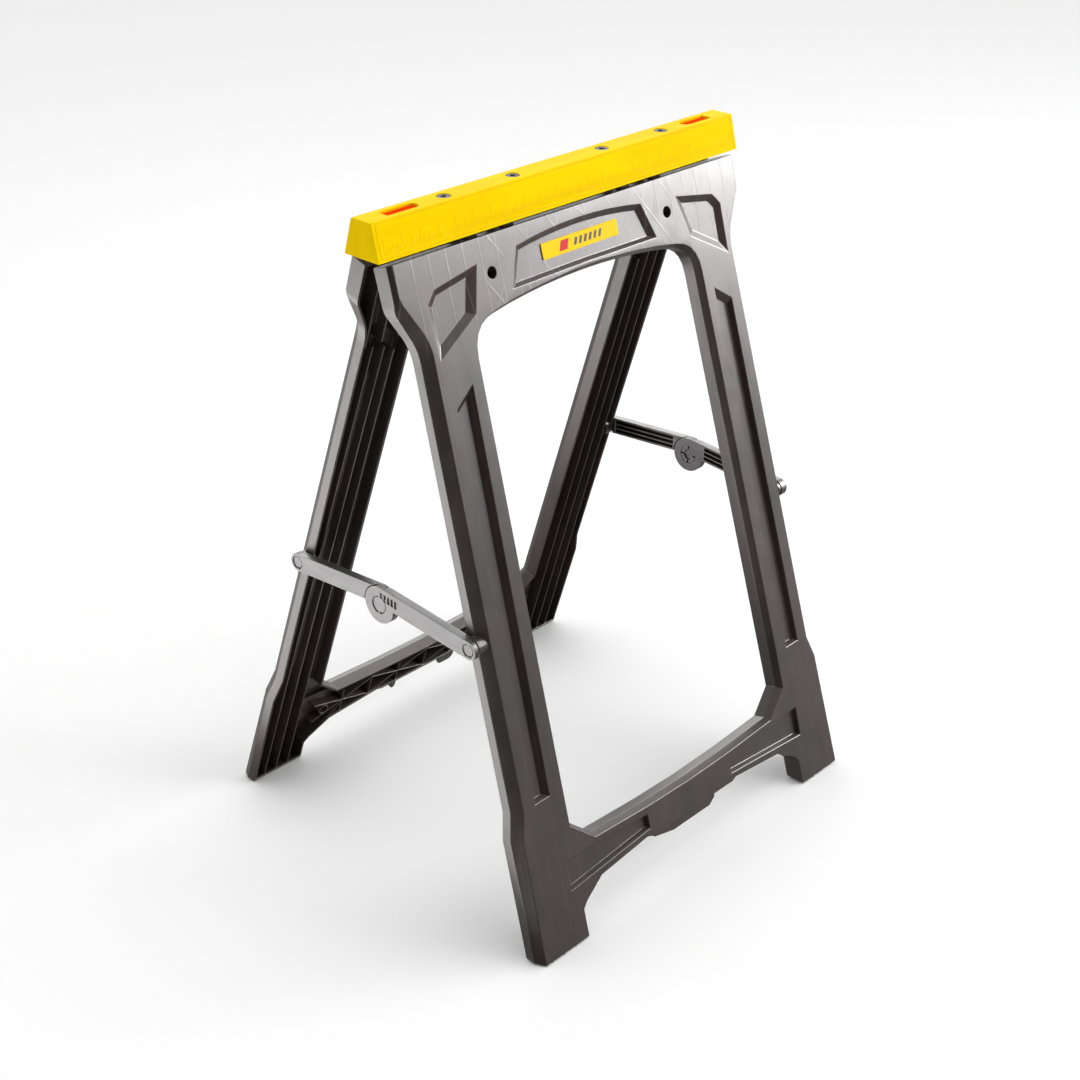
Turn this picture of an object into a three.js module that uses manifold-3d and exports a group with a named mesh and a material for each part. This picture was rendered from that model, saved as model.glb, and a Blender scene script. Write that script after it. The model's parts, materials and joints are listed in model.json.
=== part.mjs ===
// Folding sawhorse. Two moulded leg frames hang on hinge rods under a trapezoid beam cap.
// A two-link folding brace at each end holds them apart, and lets them fold flat together.
// Millimetres, +Z up, origin on the floor under the middle of the beam. Left is -X, front is -Y.

import * as THREE from 'three';
import { mergeVertices } from 'three/addons/utils/BufferGeometryUtils.js';
import Module from 'manifold-3d';

const wasm = await Module();
wasm.setup();

// ---------------------------------------------------------------- driving dimensions

const gap = 0.3;                    // between pieces that touch or turn in each other
const past = 1;                     // how far a cutting shape runs past the surface that it cuts
const spread = THREE.MathUtils.degToRad(17.25);   // lean of each leg frame when open

const cap = { length: 580, top: 800, bottom: 760, topWidth: 29, bottomWidth: 51, wall: 3 };
const capRib = { places: [-236, -30, 30, 236], thickness: 2, clearOfRim: 12 };
const screw = { places: [-175, -72, 72, 175], headRadius: 7.4, headHeight: 3, shankRadius: 2.8, length: 13 };
const hexagon = { radius: 3.2, floor: 0.8 };
const counterbore = { radius: 8, depth: 4, bossRadius: 10.5, bossDepth: 8 };
const insert = { from: 213, to: 260, width: 14, recess: 2.4, thickness: 2, pocketWall: 2.5 };

const hinge = { y: 13, z: 765, rodRadius: 3.5, rodLength: 374 };
const knuckle = { places: [-150, -95, 95, 150], width: 16, radius: 7, neckFront: 3, neckBack: 7 };
const neckRoot = { front: -2, v: 47, slopeTop: 38 };
const bracket = { from: 60, to: 185, plateTop: 791.6, plate: 3, plateHalf: 11.5 };
const bracketEar = { thickness: 3, half: 19.5, belowAxis: 6.5, aboveAxis: 3 };

const frame = { depth: 24, skin: 3, wall: 3, windowBevel: 4.3, windowBevelDepth: 8.5 };
const bevel = { topDepth: 4, legDepth: 12, changesFrom: 84, changesTo: 106 };
const panelHinge = { v: 32.7, t: 12.6 };   // the hinge axis in the panel's own coordinates
const rib = { thickness: 1.8, shortOfLip: 1.5, tooth: 2 };
const label = { width: 124, height: 18, v: 82, thickness: 1, corner: 2 };

const brace = { inner: 268, thickness: 10, halfWidth: 11, kneeRise: 11.5, kneeRadius: 22.5, skin: 2.5 };
const braceEnd = { thickness: 6, seatRadius: 13 };
const lane = { count: 3, rib: 1.6, clearOfSeat: 2.5, clearOfKnee: 3 };
const grip = { count: 5, start: 4, pitch: 5.6, width: 3.6, height: 9, rise: 11.5, fall: 0.45, depth: 2 };
const bracePin = { y: 1.4, z: -426, headRadius: 6.7, headDepth: 3, shankRadius: 4.3, tip: 258, sunk: 0.8 };
const kneePin = { outerRadius: 9.5, innerRadius: 11.7, slit: 1.8, socketRadius: 7.2, plain: 2 };
const ringGroove = { width: 1.2, depth: 1.6, bridge: 3 };
const lug = { radius: 12, sleeve: 8, root: 255, openRadius: 10, openRoot: 263 };

// A panel's outline is given on its own sloping face: u along X from the middle, v down the slope
// from the level of the beam's top. Depth t goes in from the outer face. Right half only.

// A third number is how far from the corner its curve starts.
const wallSide = [[280, 45], [280, 92, 6], [256, 135.6, 17], [272, 652], [281, 683], [286, 850]];
const faceSide = [[274.5, 45], [275, 83, 6], [247, 133, 17], [263, 656], [272.5, 685], [279.4, 850]];
const underside = [[207, 850], [206, 802], [199, 795], [168, 777], [84, 769.6], [77, 772.5]];

const arch = { crown: 111, curve: 5.1e-4, places: [30, 60, 90, 120] };
const windowSide = [[186.2, 128.6, 36], [200.7, 700], [166, 730], [73, 734.6]];
const windowSill = 736;

// Recesses in the outer face, each pressed in as a shallow box. draft is the slope of each side,
// in the order of the outline's sides.
const shieldRecess = {
  outline: [[163, 71], [228, 82], [240, 95], [239.5, 153.5], [178, 120]], draft: [7, 8, 8, 9, 11], depth: 5,
};
const legRecess = {
  outline: [[203.3, 187.5], [231.5, 206.7], [244.3, 653], [220.6, 653]], draft: [7.5, 2.5, 4, 7], depth: 7,
};
const stretcherRecess = {
  outline: [[78, 744], [218, 734], [218, 772], [78, 762]], draft: [1, 1.5, 3, 1.5], depth: 6,
};
const centreRecess = {
  halfTop: 102, halfBottom: 119, top: 66, crown: 58, bottom: 108, bottomCrown: 106.7, depth: 5, steps: 4,
  topDraft: 6, endDraft: 8, bottomDraft: 4,
};
const drainHole = { u: 144, v: 84.5, radius: 6.5 };

// Ribs behind the face, from one point of the panel to another, on the right half.
const legRibs = [
  [[205, 175], [229.5, 850]],
  [[221, 165], [249, 850]],
  [[239, 160], [268, 850]],
];
const shoulder = { places: [60, 101, 179, 203, 227, 251], top: 40, bottom: 158 };
const crossedRibs = [[[94, 48], [140, 112]], [[140, 48], [94, 112]]];
const lattice = { cell: 100, starts: [0, 100], top: 736, bottom: 774, cross: 739, crossBottom: 769 };
const bossRib = [[204, 800], [150, 758]];
const boss = { u: 181, v: 755, radius: 7.6, hole: 5.8 };

// The front frame's tab and the rear frame's peg and small tab, under the stretcher, at the lip.
const frontTab = [[-53, 770], [62, 770], [62, 789], [50, 796], [-20, 796], [-53, 789]];
const rearTab = [[-60, 770], [-30, 770], [-30, 778, 4], [-34, 785, 4], [-56, 785, 4], [-60, 778]];
const catches = { thickness: 4, pegRadius: 4, pegLength: 14, pegU: 54, pegV: 779 };

// ---------------------------------------------------------------- shape helpers

function toSolid(geometry) {
  const plain = geometry.clone();
  plain.deleteAttribute('normal');
  plain.deleteAttribute('uv');
  const merged = mergeVertices(plain, 1e-4);
  return new wasm.Manifold(new wasm.Mesh({
    numProp: 3,
    vertProperties: new Float32Array(merged.attributes.position.array),
    triVerts: new Uint32Array(merged.index.array),
  }));
}

function toGeometry(solid) {
  const mesh = solid.getMesh();
  const geometry = new THREE.BufferGeometry();
  geometry.setAttribute('position', new THREE.BufferAttribute(mesh.vertProperties, 3));
  geometry.setIndex(new THREE.BufferAttribute(mesh.triVerts, 1));
  return geometry;
}

const join = (first, ...rest) => rest.reduce((sum, solid) => sum.add(solid), first);
const cut = (first, ...rest) => rest.reduce((left, solid) => left.subtract(solid), first);

// A closed solid through matching outlines. Each section is [outline, level], levels rising along +Z.
// A level is one number, or a function of y where the section isn't flat.
function loft(sections) {
  const count = sections[0][0].length;
  const flipped = THREE.ShapeUtils.isClockWise(sections[0][0].map(([x, y]) => new THREE.Vector2(x, y)));
  const loops = sections.map(([outline, level]) => {
    const height = typeof level === 'function' ? level : () => level;
    const loop = outline.map(([x, y]) => new THREE.Vector3(x, y, height(y)));
    return flipped ? loop.reverse() : loop;
  });
  const triangles = [];
  for (let s = 0; s + 1 < loops.length; s += 1) {
    for (let i = 0; i < count; i += 1) {
      const low = s * count;
      const next = (i + 1) % count;
      triangles.push(low + i, low + next, low + count + i);
      triangles.push(low + next, low + count + next, low + count + i);
    }
  }
  const lastLoop = (loops.length - 1) * count;
  for (const [a, b, c] of THREE.ShapeUtils.triangulateShape(loops[0], [])) {
    triangles.push(a, c, b);
  }
  for (const [a, b, c] of THREE.ShapeUtils.triangulateShape(loops.at(-1), [])) {
    triangles.push(lastLoop + a, lastLoop + b, lastLoop + c);
  }
  const geometry = new THREE.BufferGeometry().setFromPoints(loops.flat());
  geometry.setIndex(triangles);
  return geometry;
}

const prism = (outline, from, to) => loft([[outline, from], [outline, to]]);

// Moves every side of an outline inwards by its own distance, or outwards where that is negative.
function inset(outline, distance) {
  const count = outline.length;
  const clockwise = THREE.ShapeUtils.isClockWise(outline.map(([x, y]) => new THREE.Vector2(x, y)));
  const sides = outline.map(([x, y], i) => {
    const [nextX, nextY] = outline[(i + 1) % count];
    const along = new THREE.Vector2(nextX - x, nextY - y).normalize();
    const inward = new THREE.Vector2(-along.y, along.x).multiplyScalar(clockwise ? -1 : 1);
    return { inward, distance: Array.isArray(distance) ? distance[i] : distance };
  });
  return outline.map(([x, y], i) => {
    const before = sides[(i + count - 1) % count];
    const after = sides[i];
    const turn = before.inward.cross(after.inward);
    if (Math.abs(turn) < 1e-3) {
      return [x + after.inward.x * after.distance, y + after.inward.y * after.distance];
    }
    const dx = (before.distance * after.inward.y - after.distance * before.inward.y) / turn;
    const dy = (after.distance * before.inward.x - before.distance * after.inward.x) / turn;
    return [x + dx, y + dy];
  });
}

// A right half and its mirror image as one closed outline, with a point on the middle line at each end.
function mirrored(rightHalf, start = [], end = []) {
  const left = rightHalf.map(([x, y]) => [-x, y]).reverse();
  return [...start, ...rightHalf, ...end, ...left];
}

// A round bar along X, centred on (y, z).
function barX(radius, from, to, y, z, segments = 20) {
  const geometry = new THREE.CylinderGeometry(radius, radius, to - from, segments);
  geometry.rotateY(Math.PI / segments);
  geometry.rotateZ(Math.PI / 2);
  geometry.translate((from + to) / 2, y, z);
  return toSolid(geometry);
}

// An upright round bar, centred on (x, y).
function barZ(radius, from, to, x, y, segments = 20) {
  const geometry = new THREE.CylinderGeometry(radius, radius, to - from, segments);
  geometry.rotateX(Math.PI / 2);
  geometry.translate(x, y, (from + to) / 2);
  return toSolid(geometry);
}

function box(low, high) {
  const size = high.map((value, i) => value - low[i]);
  const geometry = new THREE.BoxGeometry(...size);
  geometry.translate(...low.map((value, i) => value + size[i] / 2));
  return toSolid(geometry);
}

// An outline in the YZ plane, carried along X.
function prismX(outline, from, to) {
  const geometry = prism(outline, from, to);
  geometry.applyMatrix4(new THREE.Matrix4().makeBasis(
    new THREE.Vector3(0, 1, 0), new THREE.Vector3(0, 0, 1), new THREE.Vector3(1, 0, 0),
  ));
  return toSolid(geometry);
}

// Softens the corners of a run of points: [x, y, reach] becomes a curve that starts that far from it.
function softened(points, steps = 5) {
  const corners = points.map(([x, y]) => new THREE.Vector2(x, y));
  return corners.flatMap((corner, i) => {
    const reach = points[i][2];
    if (reach === undefined) {
      return [corner.toArray()];
    }
    const towards = (other) => other.clone().sub(corner).setLength(reach).add(corner);
    const curve = new THREE.QuadraticBezierCurve(towards(corners[i - 1]), corner, towards(corners[i + 1]));
    return curve.getPoints(steps).map((point) => point.toArray());
  });
}

function part(name, solid, material) {
  const mesh = new THREE.Mesh(toGeometry(solid), material);
  mesh.name = name;
  return mesh;
}

// ---------------------------------------------------------------- materials

const plastic = (color, roughness) => new THREE.MeshStandardMaterial({ color, roughness, metalness: 0 });
const metal = (color, roughness) => new THREE.MeshStandardMaterial({ color, roughness, metalness: 1 });
const materials = {
  yellow: plastic(0xf7c600, 0.45),
  red: plastic(0xe5401c, 0.5),
  frame: plastic(0x3b3735, 0.4),
  brace: plastic(0x55514e, 0.45),
  label: plastic(0xf2c80a, 0.5),
  steel: metal(0x8c9096, 0.4),
  blackSteel: metal(0x33343a, 0.45),
};

// ---------------------------------------------------------------- beam cap and what it carries

const capSlope = (cap.bottomWidth - cap.topWidth) / 2 / (cap.top - cap.bottom);
const capHalf = (z) => cap.topWidth / 2 + (cap.top - z) * capSlope;

function capSection(side, top, bottom) {
  return [[-capHalf(bottom) + side, bottom], [capHalf(bottom) - side, bottom],
    [capHalf(top) - side, top], [-capHalf(top) + side, top]];
}

// A slot along X with a round inner end and a square outer end, on the side given by direction.
function insertOutline(direction, margin) {
  const radius = insert.width / 2 + margin;
  const steps = 8;
  const points = [[insert.to + margin, radius], [insert.to + margin, -radius]];
  for (let i = 0; i <= steps; i += 1) {
    const angle = -Math.PI / 2 - (Math.PI * i) / steps;
    points.push([insert.from + insert.width / 2 + Math.cos(angle) * radius, Math.sin(angle) * radius]);
  }
  return points.map(([x, y]) => [direction * x, y]);
}

function beamCap() {
  const half = cap.length / 2;
  const outer = prismX(capSection(0, cap.top, cap.bottom), -half, half);
  let hollow = prismX(
    capSection(cap.wall, cap.top - cap.wall, cap.bottom - 1), -half + cap.wall, half - cap.wall,
  );
  const holes = [];
  for (const x of screw.places) {
    hollow = cut(hollow, barZ(counterbore.bossRadius, cap.top - counterbore.bossDepth, cap.top, x, 0));
    holes.push(barZ(counterbore.radius, cap.top - counterbore.depth, cap.top + 1, x, 0));
    holes.push(barZ(screw.shankRadius + gap, cap.top - 20, cap.top, x, 0, 16));
  }
  const pocketFloor = cap.top - insert.recess - insert.thickness - gap;
  for (const direction of [-1, 1]) {
    const { pocketWall } = insert;
    const pocketBox = prism(insertOutline(direction, pocketWall), pocketFloor - pocketWall, cap.top);
    hollow = cut(hollow, toSolid(pocketBox));
    holes.push(toSolid(prism(insertOutline(direction, 0), pocketFloor, cap.top + 1)));
  }
  // Cross ribs stiffen the shell between the brackets and at the ends.
  for (const x of capRib.places) {
    const half = capRib.thickness / 2;
    const low = [x - half, -cap.bottomWidth, cap.bottom + capRib.clearOfRim];
    hollow = cut(hollow, box(low, [x + half, cap.bottomWidth, cap.top]));
  }
  return cut(outer, hollow, ...holes);
}

function capInsert(direction) {
  const top = cap.top - insert.recess;
  return toSolid(prism(insertOutline(direction, -gap), top - insert.thickness, top));
}

// A pan-head screw with a hexagon recess, its head down in the counterbore.
function capScrew(x) {
  const seat = cap.top - counterbore.depth + gap;
  const head = barZ(screw.headRadius, seat, seat + screw.headHeight, x, 0);
  const shank = barZ(screw.shankRadius, cap.top - counterbore.depth - screw.length, seat + 1, x, 0, 16);
  const recess = barZ(hexagon.radius, seat + hexagon.floor, seat + screw.headHeight + 1, x, 0, 6);
  return cut(join(head, shank), recess);
}

// A steel channel under the cap's top: one plate, and three ears that carry both hinge rods.
function hingeBracket(direction) {
  const { from, to, plateTop, plate, plateHalf } = bracket;
  const ear = bracketEar.thickness;
  const span = [direction * from, direction * to].sort((a, b) => a - b);
  let body = box([span[0], -plateHalf, plateTop - plate], [span[1], plateHalf, plateTop]);
  const low = hinge.z - bracketEar.belowAxis;
  const shoulderZ = hinge.z + bracketEar.aboveAxis;
  const earOutline = mirrored([
    [bracketEar.half, low], [bracketEar.half, shoulderZ], [plateHalf, plateTop - plate / 2],
  ]);
  for (const x of [span[0], (span[0] + span[1] - ear) / 2, span[1] - ear]) {
    body = join(body, prismX(earOutline, x, x + ear));
  }
  const holes = screw.places.filter((x) => x * direction > 0)
    .map((x) => barZ(screw.shankRadius + gap, plateTop - plate - past, plateTop + past, x, 0, 16));
  for (const y of [-hinge.y, hinge.y]) {
    holes.push(barX(hinge.rodRadius + gap, span[0] - past, span[1] + past, y, hinge.z, 16));
  }
  return cut(body, ...holes);
}

function hingeRod(y) {
  return barX(hinge.rodRadius, -hinge.rodLength / 2, hinge.rodLength / 2, y, hinge.z, 16);
}

// ---------------------------------------------------------------- leg frame, in panel coordinates

// Panel space has x = u, y = -v and z = -t, so its outer face looks along +Z.
const panel = (points) => points.map(([u, v]) => [u, -v]);

const wallLine = mirrored(softened([...wallSide, ...underside]));
const faceLine = mirrored(softened([...faceSide, ...underside]));
const windowFace = mirrored(
  softened([...arch.places.map((u) => [u, arch.crown + arch.curve * u ** 2]), ...windowSide]),
  [[0, arch.crown]],
  [[0, windowSill]],
);
const windowWall = inset(windowFace, frame.windowBevel);

// The level of the bevel's outer edge: shallow beside the top of the panel, deep along the legs.
function bevelLevel(y) {
  const { topDepth, legDepth, changesFrom, changesTo } = bevel;
  const v = THREE.MathUtils.clamp(-y, changesFrom, changesTo);
  return -THREE.MathUtils.mapLinear(v, changesFrom, changesTo, topDepth, legDepth);
}

const footV = panelHinge.v + (hinge.z + panelHinge.t * Math.sin(spread)) / Math.cos(spread);

// Everything in panel space that lies below a given height over the floor.
function belowFloor(height) {
  const geometry = new THREE.BoxGeometry(700, 120, 200);
  geometry.translate(0, -60 + height, 0);
  geometry.rotateX(spread);
  geometry.translate(0, -footV, 0);
  return toSolid(geometry);
}

function centreRecessOutline() {
  const { halfTop, halfBottom, top, crown, bottom, bottomCrown, steps } = centreRecess;
  const half = [];
  for (let i = 1; i <= steps; i += 1) {
    const along = i / steps;
    half.push([halfTop * along, crown + (top - crown) * along ** 2]);
  }
  half.push([halfBottom, bottom]);
  return mirrored(half, [[0, crown]], [[0, bottomCrown]]);
}

function centreRecessDraft() {
  const { steps, topDraft, endDraft, bottomDraft } = centreRecess;
  const top = Array(steps).fill(topDraft);
  return [...top, endDraft, bottomDraft, bottomDraft, endDraft, ...top];
}

// The recess in the outer face, and the box of wall that surrounds it behind the face.
function recessSolids({ outline, draft, depth }) {
  const floor = inset(outline, draft);
  const margin = frame.wall;
  const pocket = loft([[panel(floor), -depth], [panel(outline), 0], [panel(outline), 1]]);
  const surround = loft([
    [panel(inset(floor, -margin)), -depth - margin],
    [panel(inset(outline, -margin)), 0],
  ]);
  return { pocket: toSolid(pocket), surround: toSolid(surround) };
}

const mirrorOutline = (outline) => outline.map(([u, v]) => [-u, v]);

function allRecesses() {
  const centre = { outline: centreRecessOutline(), draft: centreRecessDraft(), depth: centreRecess.depth };
  const recesses = [centre];
  for (const recess of [shieldRecess, legRecess, stretcherRecess]) {
    recesses.push(recess);
    recesses.push({ ...recess, outline: mirrorOutline(recess.outline) });
  }
  return recesses.map(recessSolids);
}

// A thin upright slab between two points of the panel, from the skin nearly to the lip.
function ribBetween([u0, v0], [u1, v1]) {
  const depth = frame.depth - rib.shortOfLip;
  const along = new THREE.Vector2(u1 - u0, v1 - v0).normalize().multiplyScalar(rib.thickness / 2);
  const outline = [[u0 - along.y, v0 + along.x], [u1 - along.y, v1 + along.x],
    [u1 + along.y, v1 - along.x], [u0 + along.y, v0 - along.x]];
  return toSolid(prism(panel(outline), -depth, -1));
}

// A row of long crosses fills the stretcher, with uprights at their middles and between them.
function stretcherRibs() {
  const { cell, starts, top, bottom, cross, crossBottom } = lattice;
  return starts.flatMap((from) => {
    const middle = from + cell / 2;
    const to = from + cell;
    return [
      [[from, cross], [to, crossBottom]],
      [[from, crossBottom], [to, cross]],
      [[from, top], [from, bottom]],
      [[middle, top], [middle, bottom]],
    ];
  });
}

const bothSides = (lines) => lines.flatMap((line) => [line, line.map(([u, v]) => [-u, v])]);

function hollowBehind(recesses) {
  const deep = -frame.depth - 1;
  const space = toSolid(loft([
    [panel(inset(wallLine, frame.wall)), deep],
    [panel(inset(wallLine, frame.wall)), bevelLevel],
    [panel(inset(faceLine, frame.wall)), -frame.skin],
  ]));
  const windowBox = toSolid(loft([
    [panel(inset(windowWall, -frame.wall)), deep - 1],
    [panel(inset(windowWall, -frame.wall)), -frame.windowBevelDepth],
    [panel(inset(windowFace, -frame.wall)), 0],
  ]));
  const uprights = shoulder.places.map((u) => [[u, shoulder.top], [u, shoulder.bottom]]);
  const lines = bothSides([...legRibs, ...uprights, ...crossedRibs, ...stretcherRibs(), bossRib]);
  const rings = [-1, 1].flatMap((side) => [
    barZ(drainHole.radius + frame.wall, -frame.depth, 0, side * drainHole.u, -drainHole.v, 16),
    barZ(boss.radius, rib.shortOfLip - frame.depth, 0, side * boss.u, -boss.v, 20),
  ]);
  const pinSleeves = [-1, 1].map((side) => lugBar(side, lug.sleeve, bracePin.tip - 2, brace.inner));
  return cut(
    space,
    belowFloor(rib.tooth + frame.wall),
    windowBox,
    ...recesses.map(({ surround }) => surround),
    ...lines.map(([from, to]) => ribBetween(from, to)),
    ...rings,
    ...pinSleeves,
  );
}

// A bar along X on the brace pivot, from one distance from the middle to another, on one side.
function lugBar(side, radius, from, to) {
  const span = [side * from, side * to].sort((a, b) => a - b);
  return barX(radius, span[0], span[1], bracePin.z - panelHinge.v, -(bracePin.y + panelHinge.t));
}

// Knuckles that turn on the hinge rod, each on a neck whose front slopes out to its root.
function hingeKnuckles() {
  const { places, width, radius, neckBack, neckFront } = knuckle;
  const axisY = -panelHinge.v;
  const axisZ = -panelHinge.t;
  const neckOutline = [
    [axisY, axisZ - neckBack], [-neckRoot.v, axisZ - neckBack], [-neckRoot.v, axisZ - neckRoot.front],
    [-neckRoot.slopeTop, axisZ - neckFront], [axisY, axisZ - neckFront],
  ];
  const solids = places.map((x) => join(
    barX(radius, x - width / 2, x + width / 2, axisY, axisZ, 16),
    prismX(neckOutline, x - width / 2, x + width / 2),
  ));
  const bore = barX(hinge.rodRadius + gap, -hinge.rodLength, hinge.rodLength, axisY, axisZ, 16);
  return cut(join(...solids), bore);
}

// The tab hooks over the other frame's peg when the two are folded flat.
function foldCatches(isFront) {
  const lip = -frame.depth;
  if (isFront) {
    return [toSolid(prism(panel(frontTab), lip, lip + catches.thickness))];
  }
  const { thickness, pegRadius, pegLength, pegU, pegV } = catches;
  const underWall = 2 - underside.at(-1)[1];
  return [
    toSolid(prism(panel(softened(rearTab)), lip, lip + thickness)),
    barZ(pegRadius, lip, lip + pegLength, pegU, -pegV, 16),
    box([pegU - pegRadius, -pegV, lip], [pegU + pegRadius, underWall, lip + thickness]),
  ];
}

// The brace is pinned to the long lug on the left. The short lug on the right faces the other brace's end.
function braceLugs() {
  return [
    lugBar(-1, lug.radius, lug.root, brace.inner + brace.thickness - braceEnd.thickness - gap),
    lugBar(1, lug.openRadius, lug.openRoot, brace.inner - gap),
  ];
}

function legFrame(material, name, isFront) {
  const recesses = allRecesses();
  const outer = toSolid(loft([
    [panel(wallLine), -frame.depth],
    [panel(wallLine), bevelLevel],
    [panel(faceLine), 0],
  ]));
  const opening = toSolid(loft([
    [panel(windowWall), -frame.depth - 1],
    [panel(windowWall), -frame.windowBevelDepth],
    [panel(windowFace), 0],
    [panel(windowFace), 1],
  ]));
  const drainHoles = [-drainHole.u, drainHole.u]
    .map((u) => barZ(drainHole.radius, -frame.depth - 1, 1, u, -drainHole.v, 16));
  const bossHoles = [-boss.u, boss.u]
    .map((u) => barZ(boss.hole, -frame.depth - past, -bevel.legDepth, u, -boss.v, 20));
  const shell = cut(
    outer,
    opening,
    hollowBehind(recesses),
    ...recesses.map(({ pocket }) => pocket),
    ...drainHoles,
    ...bossHoles,
  );
  const teeth = bothSides(legRibs).map(([from, to]) => ribBetween(from, to));
  const footTeeth = join(...teeth).intersect(belowFloor(20)).subtract(belowFloor(0));
  const bores = [-1, 1]
    .map((side) => lugBar(side, bracePin.shankRadius + gap, bracePin.tip - 4, brace.inner + brace.thickness));
  const raised = shell.subtract(belowFloor(rib.tooth));
  const whole = cut(
    join(raised, footTeeth, hingeKnuckles(), ...braceLugs(), ...foldCatches(isFront)),
    ...bores,
  );
  const mesh = part(name, whole, material);
  mesh.geometry.rotateX(Math.PI / 2);
  mesh.geometry.translate(0, -panelHinge.t, panelHinge.v);
  return mesh;
}

function frameLabel() {
  const { width, height, v, thickness, corner: radius } = label;
  const back = -centreRecess.depth + gap;
  const outline = new THREE.Shape()
    .moveTo(-width / 2 + radius, -v - height / 2)
    .lineTo(width / 2 - radius, -v - height / 2)
    .absarc(width / 2 - radius, -v - height / 2 + radius, radius, -Math.PI / 2, 0)
    .absarc(width / 2 - radius, -v + height / 2 - radius, radius, 0, Math.PI / 2)
    .absarc(-width / 2 + radius, -v + height / 2 - radius, radius, Math.PI / 2, Math.PI)
    .absarc(-width / 2 + radius, -v - height / 2 + radius, radius, Math.PI, Math.PI * 1.5);
  const geometry = new THREE.ExtrudeGeometry(
    outline, { depth: thickness, bevelEnabled: false, curveSegments: 4 },
  );
  geometry.translate(0, 0, back);
  const mesh = part('front_label', toSolid(geometry), materials.label);
  mesh.geometry.rotateX(Math.PI / 2);
  mesh.geometry.translate(0, -panelHinge.t, panelHinge.v);
  return mesh;
}

// Hangs a frame and what it carries on its hinge axis, leaning out by the spread.
function hungOnHinge(...meshes) {
  const group = new THREE.Group();
  group.position.set(0, -hinge.y, hinge.z);
  group.rotation.x = -spread;
  group.add(...meshes);
  return group;
}

// ---------------------------------------------------------------- folding brace, on the left side

const pivotY = hinge.y - bracePin.y * Math.cos(spread) - bracePin.z * Math.sin(spread);
const pivotZ = hinge.z - bracePin.y * Math.sin(spread) + bracePin.z * Math.cos(spread);
const outerX = -brace.inner - brace.thickness;
const lapX = -brace.inner - brace.thickness / 2;

// A link runs from its end pivot at y = 0 to the knee at y = direction * pivotY.
// Its centre line climbs towards the knee, so that the two bars lie side by side when folded.
function braceLink(direction, isOuter) {
  const { halfWidth, kneeRise, kneeRadius, skin } = brace;
  const length = pivotY;
  const bar = [
    [0, -halfWidth], [length, kneeRise - halfWidth], [length, kneeRise + halfWidth], [0, halfWidth],
  ];
  const solid = join(
    prismX(bar.map(([y, z]) => [direction * y, z]), outerX, -brace.inner),
    barX(halfWidth, outerX, -brace.inner, 0, 0, 24),
    barX(kneeRadius, outerX, -brace.inner, direction * length, 0, 36),
  );
  // Lengthwise pockets, open on the inner side, leave two long ribs between them.
  const start = braceEnd.seatRadius + lane.clearOfSeat;
  const end = length - kneeRadius - lane.clearOfKnee;
  const width = (2 * (halfWidth - skin) - (lane.count - 1) * lane.rib) / lane.count;
  const pockets = [];
  for (let i = 0; i < lane.count; i += 1) {
    const low = -halfWidth + skin + i * (width + lane.rib);
    const outline = [[start, low], [end, low], [end, low + width], [start, low + width]]
      .map(([y, z]) => [direction * y, z + (y / length) * kneeRise]);
    pockets.push(prismX(outline, outerX + skin, -brace.inner + 1));
  }
  // Each link keeps half of the thickness round the knee, clear of the other's disc.
  const lapAway = isOuter ? [lapX - 0.2, -brace.inner + 1] : [outerX - 1, lapX + 0.2];
  const lap = barX(kneeRadius + 1, lapAway[0], lapAway[1], direction * length, 0, 36);
  const kneeHole = barX(
    (isOuter ? kneePin.outerRadius : kneePin.innerRadius) + gap,
    outerX - 1, -brace.inner + 1, direction * length, 0, 24,
  );
  const pinHole = join(
    barX(bracePin.headRadius + gap, outerX - 1, outerX + bracePin.headDepth + gap, 0, 0),
    barX(bracePin.shankRadius + gap, outerX, -brace.inner + 1, 0, 0),
  );
  const link = cut(solid, ...pockets, lap, kneeHole, pinHole, pinGroove(bracePin.headRadius, 0));
  if (!isOuter) {
    return link;
  }
  // The pinned end is cut back on the inner side, to make room for the frame's long lug.
  const seat = barX(braceEnd.seatRadius, outerX + braceEnd.thickness, -brace.inner + 1, 0, 0, 24);
  const kneeGroove = pinGroove(kneePin.outerRadius, direction * length);
  return cut(link, seat, kneeGroove, ...gripSlots(direction * length, -direction));
}

// A groove round a pin, in two halves with a bridge between them above and below.
function pinGroove(radius, y) {
  const { width, depth, bridge } = ringGroove;
  const ring = barX(radius + gap + width, outerX - 1, outerX + depth, y, 0, 24);
  const reach = radius + gap + width + 1;
  const bridges = box([outerX - 2, y - bridge / 2, -reach], [outerX + depth + 1, y + bridge / 2, reach]);
  return cut(ring, bridges);
}

// Short upright slots beside the knee, for a finger that pulls the brace up to fold it.
function gripSlots(kneeY, towardsEnd) {
  const slots = [];
  for (let i = 0; i < grip.count; i += 1) {
    const y = kneeY + towardsEnd * (grip.start + i * grip.pitch);
    const z = grip.rise - i * grip.fall;
    slots.push(box(
      [outerX - 1, y - grip.width / 2, z - grip.height / 2],
      [outerX + grip.depth, y + grip.width / 2, z + grip.height / 2],
    ));
  }
  return slots;
}

// A stepped pin. Its head sits in the link and its shank turns in the frame's lug.
function linkPin(tip) {
  return join(
    barX(bracePin.headRadius, outerX + bracePin.sunk, outerX + bracePin.headDepth, 0, 0),
    barX(bracePin.shankRadius, outerX + bracePin.headDepth - 1, tip, 0, 0),
  );
}

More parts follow.
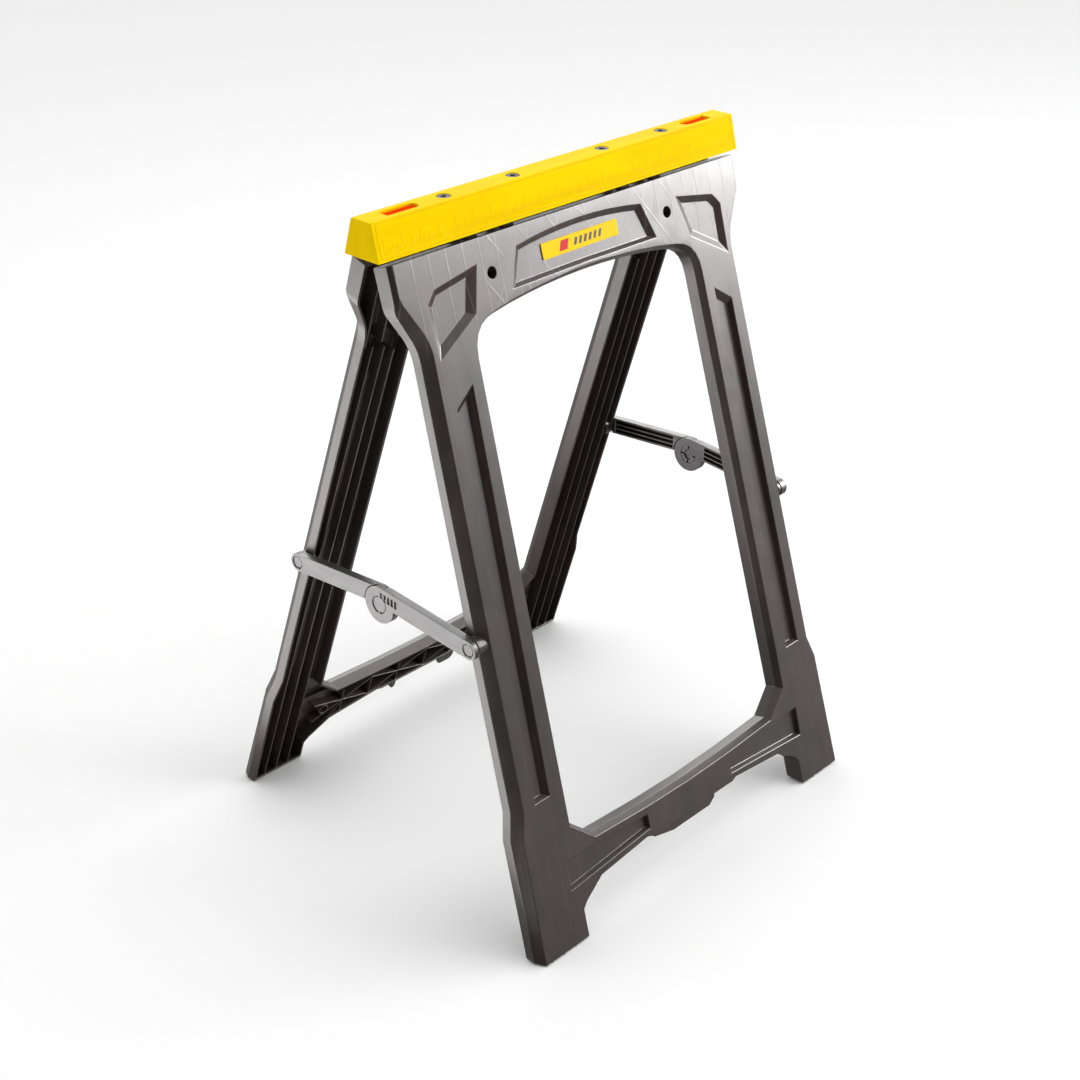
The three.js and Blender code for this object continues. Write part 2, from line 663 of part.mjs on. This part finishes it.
// The knee pin is a stepped plug. Its inner end has a hexagon socket and four fingers that snap in.
function kneePlug() {
  const plug = join(
    barX(kneePin.outerRadius, outerX + bracePin.sunk, lapX, 0, 0, 24),
    barX(kneePin.innerRadius, lapX + 0.2 + gap, -brace.inner - gap, 0, 0, 24),
    barX(kneePin.outerRadius, lapX - kneePin.plain, lapX + kneePin.plain, 0, 0, 24),
  );
  const from = lapX + kneePin.plain;
  const to = -brace.inner + past;
  const split = kneePin.slit / 2;
  const reach = kneePin.innerRadius + past;
  return cut(
    plug,
    barX(kneePin.socketRadius, from, to, 0, 0, 6),
    box([from, -split, -reach], [to, split, reach]),
    box([from, -reach, -split], [to, reach, split]),
  );
}

function at(mesh, y) {
  mesh.position.set(0, y, pivotZ);
  return mesh;
}

// The outer link is fixed to one frame by its pin. The inner link's own pin stops at its face.
function foldingBrace(names) {
  const group = new THREE.Group();
  group.add(
    at(part(names.outerLink, braceLink(1, true), materials.brace), -pivotY),
    at(part(names.innerLink, braceLink(-1, false), materials.brace), pivotY),
    at(part(names.outerPin, linkPin(-bracePin.tip), materials.brace), -pivotY),
    at(part(names.innerPin, linkPin(-brace.inner - gap), materials.brace), pivotY),
    at(part(names.kneePin, kneePlug(), materials.brace), 0),
  );
  return group;
}

// ---------------------------------------------------------------- assembly

function turnedRound(group) {
  const turned = new THREE.Group();
  turned.rotation.z = Math.PI;
  turned.add(group);
  return turned;
}

const sawhorse = new THREE.Group();
sawhorse.add(
  part('beam_cap', beamCap(), materials.yellow),
  part('insert_left', capInsert(-1), materials.red),
  part('insert_right', capInsert(1), materials.red),
  part('hinge_bracket_left', hingeBracket(-1), materials.steel),
  part('hinge_bracket_right', hingeBracket(1), materials.steel),
  part('front_hinge_rod', hingeRod(-hinge.y), materials.steel),
  part('rear_hinge_rod', hingeRod(hinge.y), materials.steel),
);
screw.places.forEach((x, i) => sawhorse.add(part(`cap_screw_${i + 1}`, capScrew(x), materials.blackSteel)));
sawhorse.add(
  hungOnHinge(legFrame(materials.frame, 'front_frame', true), frameLabel()),
  turnedRound(hungOnHinge(legFrame(materials.frame, 'rear_frame', false))),
  foldingBrace({
    outerLink: 'left_front_link',
    innerLink: 'left_rear_link',
    outerPin: 'left_front_pin',
    innerPin: 'left_rear_pin',
    kneePin: 'left_knee_pin',
  }),
  turnedRound(foldingBrace({
    outerLink: 'right_rear_link',
    innerLink: 'right_front_link',
    outerPin: 'right_rear_pin',
    innerPin: 'right_front_pin',
    kneePin: 'right_knee_pin',
  })),
);

export default sawhorse;
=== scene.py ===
import json
import math

import bmesh
import bpy
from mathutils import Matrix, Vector


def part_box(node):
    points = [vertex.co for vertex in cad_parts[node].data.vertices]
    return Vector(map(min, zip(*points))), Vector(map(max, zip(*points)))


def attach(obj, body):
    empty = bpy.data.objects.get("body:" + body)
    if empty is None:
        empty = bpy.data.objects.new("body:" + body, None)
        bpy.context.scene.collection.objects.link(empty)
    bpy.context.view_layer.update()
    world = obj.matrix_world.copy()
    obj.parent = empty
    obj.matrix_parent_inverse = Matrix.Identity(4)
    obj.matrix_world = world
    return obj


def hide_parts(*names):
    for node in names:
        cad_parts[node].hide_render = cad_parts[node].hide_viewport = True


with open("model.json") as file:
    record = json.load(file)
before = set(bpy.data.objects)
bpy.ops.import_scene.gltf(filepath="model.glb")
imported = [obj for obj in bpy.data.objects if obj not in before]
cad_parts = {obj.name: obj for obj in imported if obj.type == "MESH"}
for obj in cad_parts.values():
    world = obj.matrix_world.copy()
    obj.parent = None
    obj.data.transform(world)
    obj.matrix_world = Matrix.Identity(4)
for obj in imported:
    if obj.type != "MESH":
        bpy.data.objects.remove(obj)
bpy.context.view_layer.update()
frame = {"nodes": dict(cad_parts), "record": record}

MM = 0.001
INCH = 25.4 * MM
LEAN = math.radians(17.25)      # how far each leg frame leans out from upright
FRAME_TOP = 0.7997              # height from which distances down a frame's face are counted
CAP_TOP_HALF = 14.5 * MM        # half the width of the cap's flat top


# ---------------------------------------------------------------- node helpers

class Nodes:
    """Adds and joins the shader nodes of one tree."""

    def __init__(self, tree):
        self.tree = tree

    def add(self, kind, **settings):
        node = self.tree.nodes.new(kind)
        for key, value in settings.items():
            setattr(node, key, value)
        return node

    def feed(self, value, socket):
        """Joins another node's output to a socket, or sets the socket to a colour, a vector or a number."""
        if isinstance(value, bpy.types.NodeSocket):
            self.tree.links.new(value, socket)
        elif isinstance(value, tuple):
            socket.default_value = (*value, 1)
        else:
            socket.default_value = value

    def ramp(self, value, low, high, low_out, high_out, interpolation="LINEAR"):
        node = self.add("ShaderNodeMapRange", interpolation_type=interpolation)
        self.feed(value, node.inputs["Value"])
        self.feed(low, node.inputs["From Min"])
        self.feed(high, node.inputs["From Max"])
        self.feed(low_out, node.inputs["To Min"])
        self.feed(high_out, node.inputs["To Max"])
        return node.outputs["Result"]

    def math(self, operation, a, b):
        node = self.add("ShaderNodeMath", operation=operation)
        self.feed(a, node.inputs[0])
        self.feed(b, node.inputs[1])
        return node.outputs["Value"]

    def mix(self, factor, color_a, color_b):
        node = self.add("ShaderNodeMix", data_type="RGBA")
        self.feed(factor, node.inputs["Factor"])
        self.feed(color_a, node.inputs["A"])
        self.feed(color_b, node.inputs["B"])
        return node.outputs["Result"]

    def split(self, vector):
        node = self.add("ShaderNodeSeparateXYZ")
        self.feed(vector, node.inputs["Vector"])
        return node.outputs

    def dot(self, a, b):
        node = self.add("ShaderNodeVectorMath", operation="DOT_PRODUCT")
        self.feed(a, node.inputs[0])
        self.feed(b, node.inputs[1])
        return node.outputs["Value"]


# ---------------------------------------------------------------- camera, floor and light

def make_camera():
    """Above the front left corner, looking down at the part."""
    turn, tilt = 45.19, 28.5            # degrees to the right of straight back, and down from level
    data = bpy.data.cameras.new("camera")
    data.sensor_width = 36.0
    data.lens = 59.72
    data.shift_x = 0.074
    data.shift_y = 0.012
    data.clip_end = 60.0
    camera = bpy.data.objects.new("camera", data)
    camera.location = (-1.4307, -1.2716, 1.3537)
    camera.rotation_euler = (math.radians(90 - tilt), 0, math.radians(-turn))
    bpy.context.collection.objects.link(camera)
    bpy.context.scene.camera = camera


def make_floor():
    half = 14.0
    mesh = bpy.data.meshes.new("floor")
    corners = [(-half, -half, 0), (half, -half, 0), (half, half, 0), (-half, half, 0)]
    mesh.from_pydata(corners, [], [(0, 1, 2, 3)])
    floor = bpy.data.objects.new("floor", mesh)
    bpy.context.collection.objects.link(floor)
    material = bpy.data.materials.new("floor")
    material.use_nodes = True
    shader = material.node_tree.nodes["Principled BSDF"]
    shader.inputs["Base Color"].default_value = (0.96, 0.96, 0.96, 1)
    shader.inputs["Roughness"].default_value = 0.9
    shader.inputs["Specular IOR Level"].default_value = 0.1
    mesh.materials.append(material)
    floor.visible_glossy = False


def area_light(name, place, target, width, height, power, reflection_only=False):
    """A rectangular light, hidden from the camera. With reflection_only, diffuse surfaces miss it too."""
    data = bpy.data.lights.new(name, "AREA")
    data.shape = "RECTANGLE"
    data.size = width
    data.size_y = height
    data.energy = power
    light = bpy.data.objects.new(name, data)
    light.location = place
    light.rotation_euler = (Vector(target) - Vector(place)).to_track_quat("-Z", "Y").to_euler()
    light.visible_camera = False
    light.visible_diffuse = not reflection_only
    bpy.context.collection.objects.link(light)


WORLD_BRIGHT = (1.06, 1.06, 1.06)
WORLD_DARK = (0.03, 0.02, 0.021)
WORLD_SEEN = (0.95, 0.95, 0.95)                             # what the camera sees past the floor
BELOW_DARKNESS = 0.6                                        # how much darker it is below the horizon
BELOW_FULL, BELOW_NONE = -0.35, 0.02                        # heights of that change
DARK_SIDE = Vector((-0.70, -0.66, 0.12)).normalized()       # the way to the middle of the dark side
DARK_CORE, DARK_EDGE = math.radians(34), math.radians(72)   # how far it reaches, fully and at all


def make_world():
    """Soft white above and dimmer below, with a dark side at the front left, as around a photographer."""
    world = bpy.data.worlds.new("studio")
    world.use_nodes = True
    nodes = Nodes(world.node_tree)
    direction = nodes.add("ShaderNodeTexCoord").outputs["Generated"]
    towards = nodes.dot(direction, DARK_SIDE)
    dark_side = nodes.ramp(towards, math.cos(DARK_EDGE), math.cos(DARK_CORE), 0, 1, "SMOOTHSTEP")
    height = nodes.split(direction)["Z"]
    below = nodes.ramp(height, BELOW_FULL, BELOW_NONE, BELOW_DARKNESS, 0, "SMOOTHSTEP")
    color = nodes.mix(dark_side, nodes.mix(below, WORLD_BRIGHT, WORLD_DARK), WORLD_DARK)
    seen = nodes.add("ShaderNodeLightPath").outputs["Is Camera Ray"]
    background = world.node_tree.nodes["Background"]
    nodes.feed(nodes.mix(seen, color, WORLD_SEEN), background.inputs["Color"])
    bpy.context.scene.world = world


def make_light():
    beam = (0, 0, 0.7)
    area_light("overhead_softbox", (0.0, 0.4, 3.6), (0, 0, 0), 4.0, 4.0, 18)
    area_light("right_softbox", (2.6, -2.5, 1.9), beam, 3.0, 2.0, 76)
    area_light("right_reflector", (3.21, -1.78, 1.98), beam, 1.7, 2.0, 430, reflection_only=True)
    area_light("far_reflector", (1.86, 1.89, 1.7), (0, 0, 0.3), 3.0, 1.6, 90, reflection_only=True)
    area_light("left_reflector", (-1.3, 1.0, 0.35), (0, 0, 0.35), 3.0, 0.8, 18, reflection_only=True)
    area_light("floor_reflector", (-1.2, 0.6, 0.01), (-1.2, 0.6, 1.0), 1.6, 1.8, 50, reflection_only=True)
    make_world()
    bpy.context.scene.view_settings.view_transform = "Standard"


# ---------------------------------------------------------------- materials

EDGE_NONE, EDGE_FULL = 0.995, 0.86      # agreement of a surface with its rounded self, off and on an edge


class Look(Nodes):
    """The nodes of one material."""

    def __init__(self, name):
        self.name = name
        self.material = bpy.data.materials.new(f"{name}_look")
        self.material.use_nodes = True
        super().__init__(self.material.node_tree)
        self.shader = self.tree.nodes["Principled BSDF"]
        self.coords = self.add("ShaderNodeTexCoord").outputs["Object"]

    def noise(self, scale, detail=3.0, stretch=(1, 1, 1)):
        mapping = self.add("ShaderNodeMapping")
        mapping.inputs["Scale"].default_value = stretch
        self.feed(self.coords, mapping.inputs["Vector"])
        node = self.add("ShaderNodeTexNoise")
        self.feed(scale, node.inputs["Scale"])
        self.feed(detail, node.inputs["Detail"])
        self.feed(mapping.outputs["Vector"], node.inputs["Vector"])
        return node.outputs["Fac"]

    def bump(self, height, strength, distance):
        """Adds relief to whatever relief the shader has already."""
        node = self.add("ShaderNodeBump")
        self.feed(height, node.inputs["Height"])
        self.feed(strength, node.inputs["Strength"])
        self.feed(distance, node.inputs["Distance"])
        normal = self.shader.inputs["Normal"]
        if normal.is_linked:
            self.feed(normal.links[0].from_socket, node.inputs["Normal"])
        self.feed(node.outputs["Normal"], normal)

    def position(self):
        """How far a point is from the middle along X, and down the slope from the top of the frames."""
        parts = self.split(self.coords)
        across = self.add("ShaderNodeMath", operation="ABSOLUTE")
        self.feed(parts["X"], across.inputs[0])
        down = self.math("DIVIDE", self.math("SUBTRACT", FRAME_TOP, parts["Z"]), math.cos(LEAN))
        return across.outputs["Value"], down

    def lines(self, value, first, pitch, half_width):
        """1 on evenly spaced lines of value, falling to 0 at half_width from each."""
        distance = self.math("PINGPONG", self.math("SUBTRACT", value, first), pitch / 2)
        return self.ramp(distance, 0.0, half_width, 1.0, 0.0)

    def edge_mask(self, radius):
        """1 along the edges of the shape, 0 on flat stretches."""
        rounded = self.add("ShaderNodeBevel", samples=4)
        self.feed(radius, rounded.inputs["Radius"])
        geometry = self.add("ShaderNodeNewGeometry")
        agreement = self.dot(rounded.outputs["Normal"], geometry.outputs["Normal"])
        return self.ramp(agreement, EDGE_NONE, EDGE_FULL, 0.0, 1.0)


FLOW_SCALE, FLOW_HEIGHT, FLOW_STRENGTH = 9.0, 4 * MM, 0.05     # slow marks where the melt ran
GRAIN_SCALE, GRAIN_HEIGHT = 1400.0, 0.3 * MM                   # spark-eroded grain
SPOT_SCALE = 35.0                                              # duller and shinier spots
WEAR_AND_HIGHLIGHT_SCALE, WEAR_AND_HIGHLIGHT_WIDTH = 60.0, 1.2 * MM                        # broken paler line along the edges, part rubbed wear and part painted highlight
FLOW_BAND, WEAR_AND_HIGHLIGHT_BAND, SPOT_BAND = (0.35, 0.65), (0.4, 0.7), (0.3, 0.7)    # parts of each noise in use
WEAR_AND_HIGHLIGHT_LEAST = 0.2                                               # how much of the line is left in its gaps


def moulded(name, dark, light, edge, roughness, grain, stretch=(1, 1, 1), gloss=0.5, gloss_tint=(1, 1, 1)):
    """A moulded surface: a fine grain, slow flow marks, and a paler line along the edges, as rubbed wear and,
    where the edge colour is far paler than the body, as a painted highlight.
    """
    look = Look(name)
    look.shader.inputs["Specular IOR Level"].default_value = gloss
    look.shader.inputs["Specular Tint"].default_value = (*gloss_tint, 1)
    flow = look.noise(FLOW_SCALE, 4.0, stretch)
    color = look.mix(look.ramp(flow, *FLOW_BAND, 0, 1), dark, light)
    # A broken line of the edge colour along the edges: rubbed wear, and on the dark braces a painted
    # highlight.
    broken = look.ramp(look.noise(WEAR_AND_HIGHLIGHT_SCALE), *WEAR_AND_HIGHLIGHT_BAND, WEAR_AND_HIGHLIGHT_LEAST, 1.0)
    wear_and_highlight = look.math("MULTIPLY", look.edge_mask(WEAR_AND_HIGHLIGHT_WIDTH), broken)
    look.feed(look.mix(wear_and_highlight, color, edge), look.shader.inputs["Base Color"])
    spots = look.noise(SPOT_SCALE, 5.0, stretch)
    look.feed(look.ramp(spots, *SPOT_BAND, *roughness), look.shader.inputs["Roughness"])
    look.bump(look.noise(GRAIN_SCALE, 2.0), grain, GRAIN_HEIGHT)
    look.bump(flow, FLOW_STRENGTH, FLOW_HEIGHT)
    return look


CROSS_SLOPE = 46 / 64                               # across for each unit down, of the crossed ribs
LEG_RIB_SLOPE = 0.04                                # the legs' ribs spread downwards
MARK_HALF, CROSS_HALF = 1.1 * MM, 1.6 * MM          # half widths of the upright and crossed marks
UPRIGHT_FIRST, UPRIGHT_PITCH = 251 * MM, 24 * MM
CROSS_PITCH = 46 * MM
RISING_FIRST, FALLING_FIRST = 174.5 * MM, 59.5 * MM
CROSSES_END = 150 * MM, 156 * MM                    # from the middle, where they fade out
BEAM_PART_END = 130 * MM, 160 * MM                  # down the slope
LEG_FIRST, LEG_PITCH, LEG_HALF = 198.5 * MM, 17 * MM, 1.0 * MM
LEGS_START = 150 * MM, 190 * MM
LEG_STRENGTH = 0.22                                 # of the legs' marks beside the others
PATCH_SCALE, PATCH_RANGE = 14.0, (0.05, 0.85)       # the marks come and go along the face
MARK_BUMP, MARK_HEIGHT = 0.35, 0.4 * MM
SINK_COLOR = (0.11, 0.105, 0.10)


def sink_marks(look):
    """Faint pale lines where the ribs behind the face meet it: uprights, crosses and lines down the legs."""
    across, down = look.position()
    slanted = look.math("MULTIPLY", down, CROSS_SLOPE)
    uprights = look.lines(across, UPRIGHT_FIRST, UPRIGHT_PITCH, MARK_HALF)
    rising = look.lines(look.math("ADD", across, slanted), RISING_FIRST, CROSS_PITCH, CROSS_HALF)
    falling = look.lines(look.math("SUBTRACT", across, slanted), FALLING_FIRST, CROSS_PITCH, CROSS_HALF)
    near_middle = look.ramp(across, *CROSSES_END, 1, 0)
    crosses = look.math("MULTIPLY", look.math("MAXIMUM", rising, falling), near_middle)
    in_beam_part = look.ramp(down, *BEAM_PART_END, 1, 0)
    upper = look.math("MULTIPLY", look.math("MAXIMUM", uprights, crosses), in_beam_part)
    leaning = look.math("SUBTRACT", across, look.math("MULTIPLY", down, LEG_RIB_SLOPE))
    in_legs = look.ramp(down, *LEGS_START, 0, LEG_STRENGTH)
    legs = look.math("MULTIPLY", look.lines(leaning, LEG_FIRST, LEG_PITCH, LEG_HALF), in_legs)
    patchy = look.ramp(look.noise(PATCH_SCALE), *FLOW_BAND, *PATCH_RANGE)
    return look.math("MULTIPLY", look.math("MAXIMUM", upper, legs), patchy)


def frame_plastic():
    look = moulded(
        "frame_plastic", dark=(0.026, 0.020, 0.0195), light=(0.045, 0.028, 0.027), edge=(0.085, 0.077, 0.075),
        roughness=(0.32, 0.39), grain=0.10, stretch=(2, 2, 1), gloss=0.50, gloss_tint=(1, 0.975, 0.97),
    )
    marks = sink_marks(look)
    base = look.shader.inputs["Base Color"]
    look.feed(look.mix(marks, base.links[0].from_socket, SINK_COLOR), base)
    look.bump(marks, MARK_BUMP, MARK_HEIGHT)
    return look


def yellow_plastic():
    return moulded(
        "yellow_plastic", dark=(0.92, 0.61, 0.0), light=(0.97, 0.68, 0.0), edge=(1.0, 0.74, 0.02),
        roughness=(0.44, 0.54), grain=0.10, stretch=(1, 5, 5), gloss=0.004, gloss_tint=(1, 0.8, 0.12),
    )


# The rule's yellow is darker than the cap's: painted shade standing in for the shading along the low raised
# ticks and lines.
def rule_yellow_painted_shade():
    return moulded(
        "rule_yellow_painted_shade", dark=(0.80, 0.47, 0.0), light=(0.88, 0.55, 0.0), edge=(0.92, 0.60, 0.01),
        roughness=(0.44, 0.54), grain=0.06, gloss=0.015,
    )


def red_plastic():
    return moulded(
        "red_plastic", dark=(0.82, 0.045, 0.002), light=(0.92, 0.058, 0.003), edge=(0.96, 0.09, 0.01),
        roughness=(0.45, 0.55), grain=0.06, gloss=0.0,
    )


def brace_plastic():
    # The edge colour, many times paler than the body, is a painted highlight along the edges.
    return moulded(
        "brace_plastic", dark=(0.024, 0.019, 0.019), light=(0.036, 0.030, 0.029), edge=(0.50, 0.48, 0.47),
        roughness=(0.38, 0.48), grain=0.08, stretch=(6, 1, 6), gloss=0.7,
    )


def zinc_steel():
    look = moulded(
        "zinc_steel", dark=(0.45, 0.46, 0.48), light=(0.6, 0.61, 0.63), edge=(0.8, 0.8, 0.82),
        roughness=(0.25, 0.42), grain=0.1, stretch=(1, 8, 8),
    )
    look.shader.inputs["Metallic"].default_value = 1.0
    return look


def black_steel():
    return moulded(
        "black_steel", dark=(0.03, 0.03, 0.032), light=(0.055, 0.055, 0.06), edge=(0.16, 0.16, 0.17),
        roughness=(0.5, 0.65), grain=0.15, gloss=0.15,
    )


def label_yellow():
    return moulded(
        "label", dark=(0.93, 0.60, 0.0), light=(0.97, 0.64, 0.0), edge=(0.97, 0.67, 0.02),
        roughness=(0.34, 0.42), grain=0.03, gloss=0.05, gloss_tint=(1, 0.8, 0.12),
    )


def label_red():
    return moulded(
        "label_red", dark=(0.62, 0.012, 0.022), light=(0.70, 0.02, 0.03), edge=(0.75, 0.03, 0.04),
        roughness=(0.36, 0.44), grain=0.03, gloss=0.05,
    )


def label_black():
    return moulded(
        "label_black", dark=(0.010, 0.009, 0.009), light=(0.018, 0.016, 0.015), edge=(0.03, 0.028, 0.027),
        roughness=(0.4, 0.5), grain=0.03, gloss=0.15,
    )


def make_materials():
    """Every material under its name. The names of the record's slots are among them."""
    makers = (
        frame_plastic, yellow_plastic, rule_yellow_painted_shade, red_plastic, brace_plastic, zinc_steel, black_steel,
        label_yellow, label_red, label_black,
    )
    return {look.name: look.material for look in (make() for make in makers)}


# ---------------------------------------------------------------- pieces

WELD = 0.02 * MM                        # points closer than this become one
FLAT = math.radians(0.5)                # faces that meet flatter than this become one
SHARP = math.radians(18)                # edges sharper than this are rounded
SHADING_BREAK = math.radians(40)
ROUNDING = {"beam_cap": 0.9 * MM, "front_frame": 0.7 * MM, "rear_frame": 0.7 * MM, "front_label": 0.15 * MM}
SMALL_ROUNDING = 0.4 * MM


def rounded_copy(node, radius):
    """A finer piece in place of a CAD node: flat areas as single faces, and its edges rounded."""
    shape = bmesh.new()
    shape.from_mesh(frame["nodes"][node].data)
    bmesh.ops.remove_doubles(shape, verts=shape.verts, dist=WELD)
    bmesh.ops.dissolve_limit(shape, angle_limit=FLAT, verts=shape.verts, edges=shape.edges)
    bmesh.ops.triangulate(shape, faces=[face for face in shape.faces if len(face.verts) > 4])
    shape.normal_update()
    sharp = [edge for edge in shape.edges if len(edge.link_faces) == 2 and edge.calc_face_angle() > SHARP]
    bmesh.ops.bevel(
        shape, geom=sharp, offset=radius, offset_type="OFFSET", segments=2, profile=0.5,
        affect="EDGES", clamp_overlap=False,
    )
    for face in shape.faces:
        face.smooth = True
    mesh = bpy.data.meshes.new(f"{node}_shape")
    shape.to_mesh(mesh)
    shape.free()
    mesh.set_sharp_from_angle(angle=SHADING_BREAK)
    piece = bpy.data.objects.new(f"{node}_fine", mesh)
    bpy.context.collection.objects.link(piece)
    modifier = piece.modifiers.new("weighted_normal", "WEIGHTED_NORMAL")
    modifier.keep_sharp = True
    return piece


def body_of_node(node):
    bodies = frame["record"]["behaviour"]["bodies"]
    return next(body for body, members in bodies.items() if node in members)


def slot_of_node(node):
    return next(row["material_slot"] for row in frame["record"]["subparts"] if row["node"] == node)


def make_pieces(materials):
    for node in frame["nodes"]:
        slot = slot_of_node(node)
        piece = rounded_copy(node, ROUNDING.get(node, SMALL_ROUNDING))
        piece.data.materials.append(materials[slot])
        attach(piece, body_of_node(node))
        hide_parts(node)


# ---------------------------------------------------------------- raised marks

def slab(shape, corners, outward, sunk, proud):
    """A thin plate on a surface: four corners of it, with its foot sunk in and its top a little smaller."""
    middle = sum(corners, Vector()) / len(corners)
    foot = [shape.verts.new(corner - outward * sunk) for corner in corners]
    top = [
        shape.verts.new(corner + outward * proud + (middle - corner).normalized() * proud / 2)
        for corner in corners
    ]
    shape.faces.new(top)
    shape.faces.new(reversed(foot))
    for i, vert in enumerate(foot):
        j = (i + 1) % len(foot)
        shape.faces.new((vert, foot[j], top[j], top[i]))


def add_marks(shape, name, material, node):
    """Turns a finished shape into a piece that rides with a node and takes the given material."""
    bmesh.ops.recalc_face_normals(shape, faces=shape.faces)
    mesh = bpy.data.meshes.new(name)
    shape.to_mesh(mesh)
    shape.free()
    mesh.materials.append(material)
    piece = bpy.data.objects.new(name, mesh)
    bpy.context.collection.objects.link(piece)
    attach(piece, body_of_node(node))


def cap_side(side):
    """The cap's sloping front (side -1) or back (side 1): a point on it, and the way that it faces."""
    low, high = (Vector(corner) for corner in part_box("beam_cap"))
    bottom_half = high.y
    height = high.z - low.z
    slope = (bottom_half - CAP_TOP_HALF) / height

    def point(x, above_rim):
        return Vector((x, side * (bottom_half - above_rim * slope), low.z + above_rim))

    return point, Vector((0, side, slope)).normalized(), high.x, height


RULE_SUNK = 0.3 * MM
RULE_MARGIN = 5 * MM                            # from each end of the cap to the rule's frame line
LINE_WIDTH, LINE_PROUD = 0.7 * MM, 0.3 * MM
LINE_ABOVE_RIM, LINE_BELOW_TOP = 3.2 * MM, 2.4 * MM
TICK_HALF, TICK_PROUD = 0.25 * MM, 0.18 * MM
TICK_FOOT, TICK_CLEAR = 6 * MM, 4 * MM          # above the rim, and from the frame line at each end
TICK_HEIGHTS = {8: 17 * MM, 4: 12 * MM, 2: 9 * MM, 1: 6.5 * MM}    # at whole inches, halves, and so on


def rule_marks(side, name, material):
    """A rule moulded along one side of the cap: a thin frame line, and a tick at each eighth of an inch."""
    point, outward, half_length, height = cap_side(side)
    shape = bmesh.new()

    def bar(x0, z0, x1, z1, proud):
        slab(shape, [point(x0, z0), point(x1, z0), point(x1, z1), point(x0, z1)], outward, RULE_SUNK, proud)

    end = half_length - RULE_MARGIN
    high_line = height - LINE_BELOW_TOP
    for level in (LINE_ABOVE_RIM, high_line):
        bar(-end, level, end, level + LINE_WIDTH, LINE_PROUD)
    for x in (-end, end - LINE_WIDTH):
        bar(x, LINE_ABOVE_RIM + LINE_WIDTH, x + LINE_WIDTH, high_line, LINE_PROUD)
    eighth = INCH / 8
    last = int((end - TICK_CLEAR) / eighth)
    for i in range(-last, last + 1):
        tall = next(tick for step, tick in TICK_HEIGHTS.items() if i % step == 0)
        x = i * eighth
        bar(x - TICK_HALF, TICK_FOOT, x + TICK_HALF, TICK_FOOT + tall, TICK_PROUD)
    add_marks(shape, name, material, "beam_cap")


LABEL_HEIGHT = 18 * MM
LABEL_SUNK, LABEL_PROUD = 0.1 * MM, 0.08 * MM
LABEL_SLANT = 0.45                              # sideways for each unit of height
BLOCK = {"x": -36 * MM, "width": 13 * MM, "bottom": 3.5 * MM, "top": 14.5 * MM}
BARS = {"count": 6, "first": -12 * MM, "pitch": 8 * MM}
BAR = {"width": 4.2 * MM, "bottom": 5 * MM, "top": 13 * MM}


def label_marks(materials):
    """Generic marks in place of print: a red block and a run of dark slanted bars."""
    low, high = (Vector(corner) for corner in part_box("front_label"))
    outward = Vector((0, -math.cos(LEAN), math.sin(LEAN)))

    def point(x, up):
        z = high.z - (LABEL_HEIGHT - up) * math.cos(LEAN)
        return Vector((x, low.y + up * math.sin(LEAN), z))

    def slanted(shape, x, width, bottom, top):
        shift = (top - bottom) * LABEL_SLANT
        corners = [
            point(x, bottom), point(x + width, bottom), point(x + width + shift, top), point(x + shift, top),
        ]
        slab(shape, corners, outward, LABEL_SUNK, LABEL_PROUD)

    block = bmesh.new()
    slanted(block, **BLOCK)
    add_marks(block, "label_block", materials["label_red"], "front_label")
    bars = bmesh.new()
    for i in range(BARS["count"]):
        slanted(bars, BARS["first"] + i * BARS["pitch"], **BAR)
    add_marks(bars, "label_bars", materials["label_black"], "front_label")


make_camera()
make_floor()
make_light()
looks = make_materials()
make_pieces(looks)
rule_marks(-1, "front_rule", looks["rule_yellow_painted_shade"])
rule_marks(1, "rear_rule", looks["rule_yellow_painted_shade"])
label_marks(looks)
